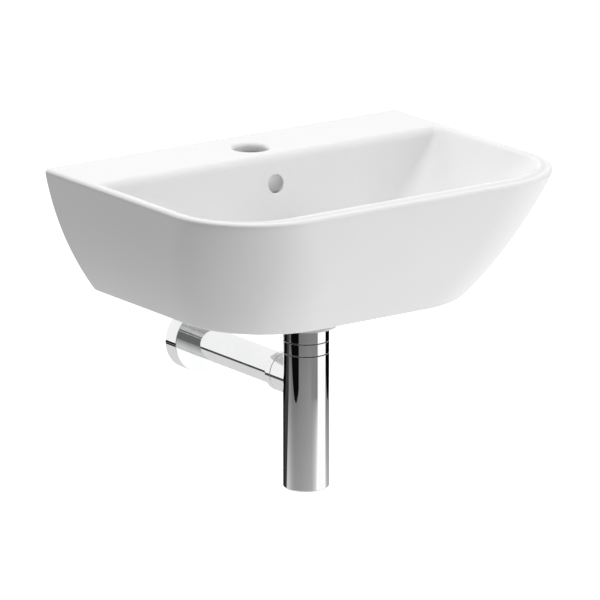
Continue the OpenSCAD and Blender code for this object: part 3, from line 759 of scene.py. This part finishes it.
def bump(tree, value, height):
    """Raises the surface by a noise, up to a height in metres."""
    made = tree.nodes.new("ShaderNodeBump")
    made.inputs["Strength"].default_value = 1
    made.inputs["Distance"].default_value = height
    tree.links.new(value, made.inputs["Height"])
    return made.outputs["Normal"]


def set_surface(tree, shader, colour, roughness, relief):
    """Gives a shader its colour, its roughness and the normal of its relief."""
    put(tree, colour, shader.inputs["Base Color"])
    put(tree, roughness, shader.inputs["Roughness"])
    put(tree, relief, shader.inputs["Normal"])


def from_axis(tree, middle, outwards):
    """A point's depth behind the middle of an axis, and its distance aside of that axis."""
    off = tree.nodes.new("ShaderNodeVectorMath")
    off.operation = "SUBTRACT"
    put(tree, tree.nodes.new("ShaderNodeTexCoord").outputs["Object"], off.inputs[0])
    put(tree, middle, off.inputs[1])
    length = tree.nodes.new("ShaderNodeVectorMath")
    length.operation = "LENGTH"
    put(tree, off.outputs["Vector"], length.inputs[0])
    depth = across(tree, off.outputs["Vector"], -outwards)
    whole = maths(tree, "POWER", length.outputs["Value"], 2)
    square = maths(tree, "SUBTRACT", whole, maths(tree, "MULTIPLY", depth, depth))
    return depth, maths(tree, "SQRT", maths(tree, "MAXIMUM", square, 0))


def painted_hole_shade(tree, middle, outwards, radius, start, end, greyness):
    """Painted shade on a hole's wall, darker with depth: it sets in between two depths and stops between
    two others.
    """
    depth, aside = from_axis(tree, middle * MM, outwards)
    inside = spread(tree, aside, 0, greyness, (radius + SHADE_BLUR) * MM, radius * MM)
    begins = span(tree, depth, start[0] * MM, start[1] * MM)
    ends = spread(tree, depth, 1, 0, end[0] * MM, end[1] * MM)
    return maths(tree, "MULTIPLY", inside, maths(tree, "MULTIPLY", begins, ends))


def painted_rim_shade(tree, x, y, z):
    """Painted shade: how grey the flat top of the rim's front is, between its two edges."""
    forward = maths(tree, "MULTIPLY", y, -1)
    squares = []
    for reach, side in ((maths(tree, "ABSOLUTE", x), BASIN_W / 2), (forward, BASIN_D)):
        from_corner = maths(tree, "SUBTRACT", reach, (side - RIM_CORNER_R) * MM)
        squares.append(maths(tree, "POWER", maths(tree, "MAXIMUM", from_corner, 0), 2))
    inset = maths(tree, "SUBTRACT", RIM_CORNER_R * MM, maths(tree, "SQRT", maths(tree, "ADD", *squares)))
    shade = spread(tree, inset, 0, RIM_GREYNESS, RIM_GREY_START[0] * MM, RIM_GREY_START[1] * MM)
    limits = [
        spread(tree, inset, 1, 0, RIM_GREY_END[0] * MM, RIM_GREY_END[1] * MM),
        span(tree, z, level(RIM_GREY_DROP[0]) * MM, level(RIM_GREY_DROP[1]) * MM),
        span(tree, forward, RIM_GREY_FRONT[0] * MM, RIM_GREY_FRONT[1] * MM),
    ]
    for limit in limits:
        shade = maths(tree, "MULTIPLY", shade, limit)
    return shade


def glazed_ceramic():
    """White glaze that waves very slightly, with an unglazed wall face, and painted shade in its two holes
    and on the flat of the rim's front.
    """
    material, tree, shader = new_material("glazed_ceramic")
    cloud = noise(tree, scale=14)
    wave = noise(tree, scale=55, detail=2)
    grain = noise(tree, scale=1800, detail=2)
    point = tree.nodes.new("ShaderNodeTexCoord").outputs["Object"]
    split = tree.nodes.new("ShaderNodeSeparateXYZ")
    tree.links.new(point, split.inputs["Vector"])
    x, y, z = split.outputs
    glaze = tint(tree, cloud, (0.925, 0.925, 0.925), (0.94, 0.94, 0.94))
    body = tint(tree, grain, (0.80, 0.79, 0.775), (0.87, 0.865, 0.855))

    # The glaze ends at the wall face, along a line that wanders a little
    edge = maths(tree, "ADD", maths(tree, "MULTIPLY", wave, GLAZE_WANDER * MM), y)
    bare = span(tree, edge, GLAZE_END[0] * MM, GLAZE_END[1] * MM)

    lean = overflow_lean()
    # Painted shade: the walls of the tap hole and the overflow hole darken with depth
    tap = painted_hole_shade(
        tree, Vector((0, -TAP_BACK, RIM_Z)), Vector((0, 0, 1)),
        TAP_HOLE_D / 2 + TAP_LIP_R, TAP_GREY_START, TAP_GREY_END, TAP_GREYNESS,
    )
    overflow = painted_hole_shade(
        tree, Vector((0, -bowl_back(OVERFLOW_DROP), level(OVERFLOW_DROP))),
        Vector((0, -math.cos(lean), math.sin(lean))),
        OVERFLOW_D / 2 + OVERFLOW_LIP_R + OVERFLOW_FLARE, OVERFLOW_GREY_START, OVERFLOW_GREY_END,
        OVERFLOW_GREYNESS,
    )
    # The painted shade of the holes and of the rim's front is mixed towards black
    shade = maths(tree, "MAXIMUM", maths(tree, "MAXIMUM", tap, overflow), painted_rim_shade(tree, x, y, z))
    colour = mixed(tree, shade, mixed(tree, bare, glaze, body), grey(0))
    roughness = mixed(tree, bare, spread(tree, wave, 0.16, 0.2), 0.75, "FLOAT")
    set_surface(tree, shader, colour, roughness, bump(tree, wave, height=0.00004))
    return material


def chrome(name, seam_shade_r=0):
    """Bright plate with a breath of haze, and painted shade, near black and matt, within a radius of the
    trap's axis.
    """
    material, tree, shader = new_material(name)
    shader.inputs["Metallic"].default_value = 1
    haze = noise(tree, scale=40)
    lines = noise(tree, scale=900, detail=2, stretch=(1, 1, 0.04))
    colour = tint(tree, haze, (0.88, 0.885, 0.89), (0.92, 0.92, 0.92))
    roughness = spread(tree, lines, 0.004, 0.012)
    if seam_shade_r:
        # Painted shade: inside the radius, deep in the seams between the trap's pieces, the chrome turns
        # near black and matt
        _, aside = from_axis(tree, AT_WASTE.translation, Vector((0, 0, 1)))
        outside_seam_shade = span(tree, aside, (seam_shade_r - SEAM_BLUR) * MM, seam_shade_r * MM)
        colour = mixed(tree, outside_seam_shade, (0.03, 0.028, 0.025, 1), colour)
        roughness = mixed(tree, outside_seam_shade, 0.6, roughness, "FLOAT")
    set_surface(tree, shader, colour, roughness, bump(tree, lines, height=0.00000008))
    return material


def rubber(name, dark, light):
    """Moulded rubber with a fine matt grain."""
    material, tree, shader = new_material(name)
    cloud = noise(tree, scale=90)
    grain = noise(tree, scale=2600, detail=4)
    roughness = spread(tree, grain, 0.55, 0.8)
    set_surface(tree, shader, tint(tree, cloud, dark, light), roughness, bump(tree, grain, height=0.00003))
    return material


def brass():
    """Turned brass with fine tool rings and darker patches."""
    material, tree, shader = new_material("brass")
    shader.inputs["Metallic"].default_value = 1
    patches = noise(tree, scale=130)
    rings = noise(tree, scale=700, detail=2, stretch=(0.03, 0.03, 3))
    colour = tint(tree, patches, (0.66, 0.47, 0.2), (0.83, 0.63, 0.31))
    set_surface(tree, shader, colour, spread(tree, rings, 0.2, 0.36), bump(tree, rings, height=0.00001))
    return material


def zinc_steel():
    """Zinc-plated steel with cloudy, faintly blue and yellow patches."""
    material, tree, shader = new_material("zinc_steel")
    shader.inputs["Metallic"].default_value = 1
    patches = noise(tree, scale=220, detail=4)
    grain = noise(tree, scale=1500)
    colour = tint(tree, patches, (0.56, 0.57, 0.6), (0.72, 0.7, 0.65))
    set_surface(tree, shader, colour, spread(tree, patches, 0.26, 0.44), bump(tree, grain, height=0.00002))
    return material


def moulded_plastic():
    """White moulded nylon with a fine grain."""
    material, tree, shader = new_material("moulded_plastic")
    cloud = noise(tree, scale=150)
    grain = noise(tree, scale=2200)
    colour = tint(tree, cloud, (0.8, 0.79, 0.76), (0.88, 0.875, 0.85))
    set_surface(tree, shader, colour, spread(tree, grain, 0.38, 0.52), bump(tree, grain, height=0.00002))
    return material


FINISHES = {
    "ceramic": glazed_ceramic(),
    "chrome": chrome("chrome"),
    "rubber": rubber("black_rubber", (0.02, 0.02, 0.021), (0.045, 0.045, 0.046)),
    "white_rubber": rubber("white_rubber", (0.7, 0.7, 0.68), (0.8, 0.8, 0.78)),
    "brass": brass(),
    "steel": zinc_steel(),
    "white_plastic": moulded_plastic(),
}
# The seams between the trap's pieces get painted shade, dark from this depth inwards
TRAP_SEAM_SHADED_CHROME = chrome("trap_chrome_seam_shade", TRAP_D / 2 - SEAM_BRIGHT)
NODE_SLOTS = {
    "waste_body": "chrome", "waste_top_gasket": "rubber", "waste_lower_gasket": "white_rubber",
    "plug_cap": "chrome", "plug_seal": "rubber", "plug_stem": "brass", "plug_cartridge": "brass",
    "plug_gland": "brass", "trap_inlet_washer": "rubber",
    "trap_dip_tube": "chrome", "trap_base_plug": "chrome", "trap_base_seal": "rubber",
    "outlet_olive": "rubber", "flange_seal": "rubber", "fixing_bolts": "steel",
    "fixing_bushes": "white_plastic", "fixing_washers": "steel", "fixing_nuts": "steel",
}


def finish_nodes():
    for name, slot in NODE_SLOTS.items():
        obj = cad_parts[name]
        obj.data.materials.clear()
        obj.data.materials.append(FINISHES[slot])
        smooth(obj.data)


# The studio, in metres

STUDIO_Z, FLOOR_SIZE, FLOOR_GLOW = -0.79, 30, 1.1
# How bright each light's own surface is
KEY, BACK_LEFT, TOP, OVERFLOW_GLOW = 1.21, 1.4, 2.16, 0.25
TOP_PLACE, TOP_SIZE = (-0.14, -0.25, 1.9), 2.4
# The overflow's light in its duct, in millimetres from the duct's sides and front
FILL_GAP, FILL_BACK = 1, 0.5
BACKGROUND = 1.02
# Soft light from far off, as (elevation, angle to the camera's right, tightness, strength)
SOFT_LIGHT = [
    (-90, 0, 1, 0.27), (-40, 0, 4, 0.33), (-40, 60, 4, 1.25), (-40, 180, 4, 0.41),
    (0, -150, 4, 1.34), (40, -90, 4, 0.41),
]


def side_on(angle):
    """A level direction, turned by an angle to the camera's right from the direction to the camera."""
    turn = math.radians(TURN)
    back = Vector((-math.sin(turn), -math.cos(turn), 0))
    right = Vector((math.cos(turn), -math.sin(turn), 0))
    a = math.radians(angle)
    return back * math.cos(a) + right * math.sin(a)


def make_floor():
    """A pale, plain floor that glows by itself and is seen only from above."""
    bm = bmesh.new()
    bmesh.ops.create_grid(bm, x_segments=1, y_segments=1, size=FLOOR_SIZE)
    bm.transform(Matrix.Translation((0, 0, STUDIO_Z)))
    mesh = finished(bm, "floor")
    floor = new_object("floor", mesh)
    floor.visible_diffuse = False
    floor.visible_glossy = False
    floor.visible_shadow = False
    material, tree, shader = new_material("floor")
    shader.inputs["Base Color"].default_value = grey(0.9)
    shader.inputs["Roughness"].default_value = 1
    shader.inputs["Emission Color"].default_value = grey(1)
    shader.inputs["Emission Strength"].default_value = FLOOR_GLOW
    side = tree.nodes.new("ShaderNodeNewGeometry")
    clear = tree.nodes.new("ShaderNodeBsdfTransparent")
    from_above = tree.nodes.new("ShaderNodeMixShader")
    tree.links.new(side.outputs["Backfacing"], from_above.inputs["Fac"])
    tree.links.new(shader.outputs["BSDF"], from_above.inputs[1])
    tree.links.new(clear.outputs["BSDF"], from_above.inputs[2])
    tree.links.new(from_above.outputs["Shader"], tree.nodes["Material Output"].inputs["Surface"])
    mesh.materials.append(material)


def area_light(name, width, height, radiance):
    """A soft light that faces down at first and that no mirror shows."""
    data = bpy.data.lights.new(name, "AREA")
    data.shape = "RECTANGLE"
    data.size, data.size_y = width, height
    data.energy = radiance * math.pi * width * height
    light = bpy.data.objects.new(name, data)
    light.visible_glossy = False
    bpy.context.scene.collection.objects.link(light)
    return light


def softbox(name, radiance, angle, distance, low, high, width):
    """A soft light that stands round the trap and faces its axis, between two heights."""
    light = area_light(name, width, high - low, radiance)
    where = AT_WASTE.translation + side_on(angle) * distance
    light.location = (where.x, where.y, (low + high) / 2)
    light.rotation_mode = "QUATERNION"
    light.rotation_quaternion = side_on(angle).to_track_quat("Z", "Y")


def overflow_fill():
    """A small light in the overflow's duct that evens its tone behind the hole."""
    size = (DUCT_W - 2 * FILL_GAP) * MM
    light = area_light("overflow_fill", size, size, OVERFLOW_GLOW)
    light.location = Vector((0, FILL_BACK - DUCT_FRONT, level(OVERFLOW_DROP))) * MM
    light.rotation_euler.x = math.radians(90)


# The room that the chrome mirrors. A ray's turn is its angle to the camera's right, counted from the
# direction to the camera, and its rise is its angle above the horizon, both in degrees. Upright walls
# mirror only a narrow band of it to the camera, about 16 degrees below the horizon.

BAND_TOP, BAND_LOW = -14.75, -16.825
# The band's tones change between these two rises
BAND_UPPER, BAND_LOWER = -15.4, -16.8
# Turns at which one part of the room ends, and how softly
BACK_LEFT_TURN, RIGHT_TURN, FAR_RIGHT_TURN = -97, 60.3, 113
EDGE_BLUR = 0.2
BLACK, NEAR_BLACK, DARK, PALE, WHITE = 0.001, 0.003, 0.043, 0.97, 1.1
# The far right at the band's upper rise, and the floor behind on the left
UPPER_WALL, BACK_FLOOR = 0.22, 0.72

# Tones round the front of the band as (turn, tone), at its upper and at its lower rise
FRONT_UPPER = [
    (-100, 0.1), (-92, 0.11), (-85, 0.145), (-79, 0.13), (-72, 0.09), (-66, 0.11), (-60, 0.13),
    (-49, 0.135), (-28, 0.185), (-18, 0.195), (2, 0.21), (12, 0.225), (60, 0.24),
]
FRONT_LOWER = [
    (-115, 0.68), (-100, 0.66), (-92, 0.6), (-85, 0.5), (-79, 0.43), (-72, 0.405), (-66, 0.365),
    (-60, 0.34), (-28, 0.345), (-18, 0.36), (2, 0.385), (22, 0.42), (30, 0.28), (60, 0.25),
]
# What is added in its lower part towards the right
FRONT_GLOW = [(22, 0), (32, 0.2), (43, 0.34), (48, 0.45), (53.5, 0.66), (60, 1)]
# Tones of the band on the far right, at its lower rise
FAR_RIGHT = [(113, 0.68), (125, 0.62), (137, 0.52), (150, 0.42), (180, 0.4)]
# Tones above and below the front of the band as (rise, tone)
FRONT_HIGH = [(-14.7, 0.2), (-12.5, 0.155), (14, 0.155), (20, 0.3), (46, 0.5), (70, 0.97)]
FRONT_LOW = [(-45, 0.75), (-37, 0.67), (-35, 0.6), (-28, 0.5), (-21, 0.36), (-16.8, 0.33)]


def tones(tree, value, bands):
    """Grey tones that blend from one (position, tone) to the next."""
    first, last = bands[0][0], bands[-1][0]
    ramp = tree.nodes.new("ShaderNodeValToRGB")
    elements = ramp.color_ramp.elements
    elements[1].position = 1
    for position, _ in bands[1:-1]:
        elements.new((position - first) / (last - first))
    for element, (_, tone) in zip(elements, bands):
        element.color = grey(tone)
    tree.links.new(span(tree, value, first, last), ramp.inputs["Fac"])
    return ramp.outputs["Color"]


def chosen(tree, test, low, high):
    """One tone where the test is 0 and the other where it is 1."""
    greys = [grey(tone) if isinstance(tone, (int, float)) else tone for tone in (low, high)]
    return mixed(tree, test, *greys)


def past(tree, value, edge, blur=EDGE_BLUR):
    """1 past an edge and 0 before it, blended over the blur. A blur below 0 swaps the two sides."""
    return span(tree, value, edge - blur, edge + blur)


def tongue(tree, turn, rise, middle, half, low, high):
    """Whether a direction falls in a shape that widens upwards from its rounded lower end."""
    width = maths(tree, "MULTIPLY", maths(tree, "POWER", span(tree, rise, low, high), 0.45), half)
    off = maths(tree, "ABSOLUTE", maths(tree, "SUBTRACT", turn, middle))
    return past(tree, maths(tree, "SUBTRACT", off, width), 0, blur=-0.3)


def stacked(tree, rise, low, middle, high):
    """What stands below, in and above the band that upright walls mirror."""
    above = past(tree, rise, BAND_TOP, blur=0.05)
    below = past(tree, rise, BAND_LOW, blur=-0.025)
    return chosen(tree, below, chosen(tree, above, middle, high), low)


def front_band(tree, turn, rise, down):
    """The front of the band: grey, lighter towards its lower right, with a black shape on the left."""
    lift = maths(tree, "SQRT", span(tree, down, 0.38, 0.96))
    glow = maths(tree, "MULTIPLY", lift, tones(tree, turn, FRONT_GLOW))
    plain = chosen(tree, down, tones(tree, turn, FRONT_UPPER), tones(tree, turn, FRONT_LOWER))
    shape = tongue(tree, turn, rise, middle=-52, half=30, low=-15.97, high=-15.4)
    shape = maths(tree, "MULTIPLY", shape, past(tree, turn, -37, blur=-EDGE_BLUR))
    return chosen(tree, shape, maths(tree, "ADD", plain, glow), NEAR_BLACK)


def back_left_room(tree, turn, rise, band):
    """Behind on the left: dark, black further back, with a slanting edge towards the band."""
    # The dark ends further left towards its foot, and the black in it widens upwards
    slant = maths(tree, "MULTIPLY", span(tree, rise, -15.85, -16.75), 18.5)
    edge = past(tree, maths(tree, "ADD", turn, slant), BACK_LEFT_TURN, blur=0.5)
    curve = maths(tree, "SQRT", span(tree, rise, -15.965, -15.465))
    core = maths(tree, "SUBTRACT", turn, maths(tree, "MULTIPLY", curve, 28))
    dark = chosen(tree, past(tree, core, -140, blur=-0.3), DARK, NEAR_BLACK)
    high = chosen(tree, past(tree, rise, -11.85, blur=0.15), BLACK, PALE)
    low = chosen(tree, past(tree, rise, -19.95, blur=-0.15), BLACK, BACK_FLOOR)
    return stacked(tree, rise, low, chosen(tree, edge, dark, band), high)


def right_room(tree, turn, rise, down):
    """The right: white, up to the grey far right with its black shape."""
    wall = chosen(tree, span(tree, down, 0.4, 1), UPPER_WALL, tones(tree, turn, FAR_RIGHT))
    shape = tongue(tree, turn, rise, middle=137, half=23, low=-15.935, high=-15.655)
    far_right = stacked(tree, rise, PALE, chosen(tree, shape, wall, BLACK), PALE)
    # The white ends a little further right towards the foot
    edge = maths(tree, "SUBTRACT", turn, maths(tree, "MULTIPLY", span(tree, down, 0.6, 1), 3))
    return chosen(tree, past(tree, edge, FAR_RIGHT_TURN), WHITE, far_right)


def mirrored_room(tree, ray):
    """The room's tone in the direction of a ray."""
    turn = maths(tree, "ARCTAN2", across(tree, ray, side_on(90)), across(tree, ray, side_on(0)))
    turn = maths(tree, "DEGREES", turn)
    rise = maths(tree, "DEGREES", maths(tree, "ARCSINE", across(tree, ray, (0, 0, 1))))
    down = span(tree, rise, BAND_UPPER, BAND_LOWER)
    band = front_band(tree, turn, rise, down)
    front = stacked(tree, rise, tones(tree, rise, FRONT_LOW), band, tones(tree, rise, FRONT_HIGH))
    back_left = back_left_room(tree, turn, rise, band)
    room = chosen(tree, past(tree, turn, BACK_LEFT_TURN), back_left, front)
    right = right_room(tree, turn, rise, down)
    return chosen(tree, past(tree, turn, RIGHT_TURN, blur=0.3), room, right)


def soft_glow(tree, ray):
    """The soft light's tone in the direction of a ray."""
    glow = 0
    for elevation, side, tightness, strength in SOFT_LIGHT:
        e = math.radians(elevation)
        axis = side_on(side) * math.cos(e) + Vector((0, 0, math.sin(e)))
        lobe = maths(tree, "POWER", maths(tree, "MAXIMUM", across(tree, ray, axis), 0), tightness)
        glow = maths(tree, "ADD", glow, maths(tree, "MULTIPLY", lobe, strength))
    return glow


def make_world():
    """White to the camera, soft light on matt surfaces and a plain room in reflections."""
    world = bpy.data.worlds.new("studio")
    world.use_nodes = True
    bpy.context.scene.world = world
    tree = world.node_tree
    tree.nodes.clear()
    ray = tree.nodes.new("ShaderNodeTexCoord").outputs["Generated"]
    path = tree.nodes.new("ShaderNodeLightPath")
    lit = chosen(tree, path.outputs["Is Glossy Ray"], soft_glow(tree, ray), mirrored_room(tree, ray))
    seen = chosen(tree, path.outputs["Is Camera Ray"], lit, BACKGROUND)
    background = tree.nodes.new("ShaderNodeBackground")
    output = tree.nodes.new("ShaderNodeOutputWorld")
    tree.links.new(seen, background.inputs["Color"])
    tree.links.new(background.outputs["Background"], output.inputs["Surface"])


def make_studio():
    bpy.context.scene.view_settings.view_transform = "Standard"
    bpy.context.scene.view_settings.look = "None"
    make_floor()
    make_world()
    softbox("key_light", KEY, angle=81, distance=1.6, low=STUDIO_Z, high=1.2, width=1.4)
    softbox("back_left_light", BACK_LEFT, angle=-135, distance=2.2, low=0.3, high=1.6, width=1.6)
    area_light("top_light", TOP_SIZE, TOP_SIZE, TOP).location = TOP_PLACE
    overflow_fill()


def make_pieces():
    place(make_basin(), "basin_and_trap", "basin", slot="ceramic", material=FINISHES["ceramic"])
    backnut = new_object("waste_backnut_chrome", make_backnut())
    coupling_nut = new_object("trap_coupling_nut_chrome", make_coupling_nut())
    outlet_nut = new_object("outlet_nut_chrome", make_outlet_nut())
    pipe = new_object("outlet_pipe_chrome", make_pipe())
    flange = new_object("wall_flange_chrome", make_flange())
    pieces = [
        (backnut, "basin_and_trap", "waste_backnut", TRAP_SEAM_SHADED_CHROME),
        (coupling_nut, "basin_and_trap", "trap_coupling_nut", TRAP_SEAM_SHADED_CHROME),
        (make_bottle(), "basin_and_trap", "trap_bottle", TRAP_SEAM_SHADED_CHROME),
        (outlet_nut, "basin_and_trap", "outlet_nut", FINISHES["chrome"]),
        (pipe, "basin_and_trap", "outlet_pipe", FINISHES["chrome"]),
        (flange, "flange", "wall_flange", FINISHES["chrome"]),
    ]
    for obj, body, node, material in pieces:
        smooth(obj.data, SHARP_METAL)
        place(obj, body, node, slot="chrome", material=material)
        even_normals(obj)

    # The spring spans the full height of its CAD node and stands on that node's foot
    low, high = (Vector(corner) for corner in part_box("plug_spring"))
    foot, length = Vector((0, -WASTE_BACK * MM, low.z)), high.z - low.z
    spring = new_object("plug_spring_coil", make_spring(foot, length))
    smooth(spring.data)
    place(spring, "basin_and_trap", "plug_spring", slot="steel", material=FINISHES["steel"])
    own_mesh(spring)


make_camera()
make_studio()
make_pieces()
finish_nodes()
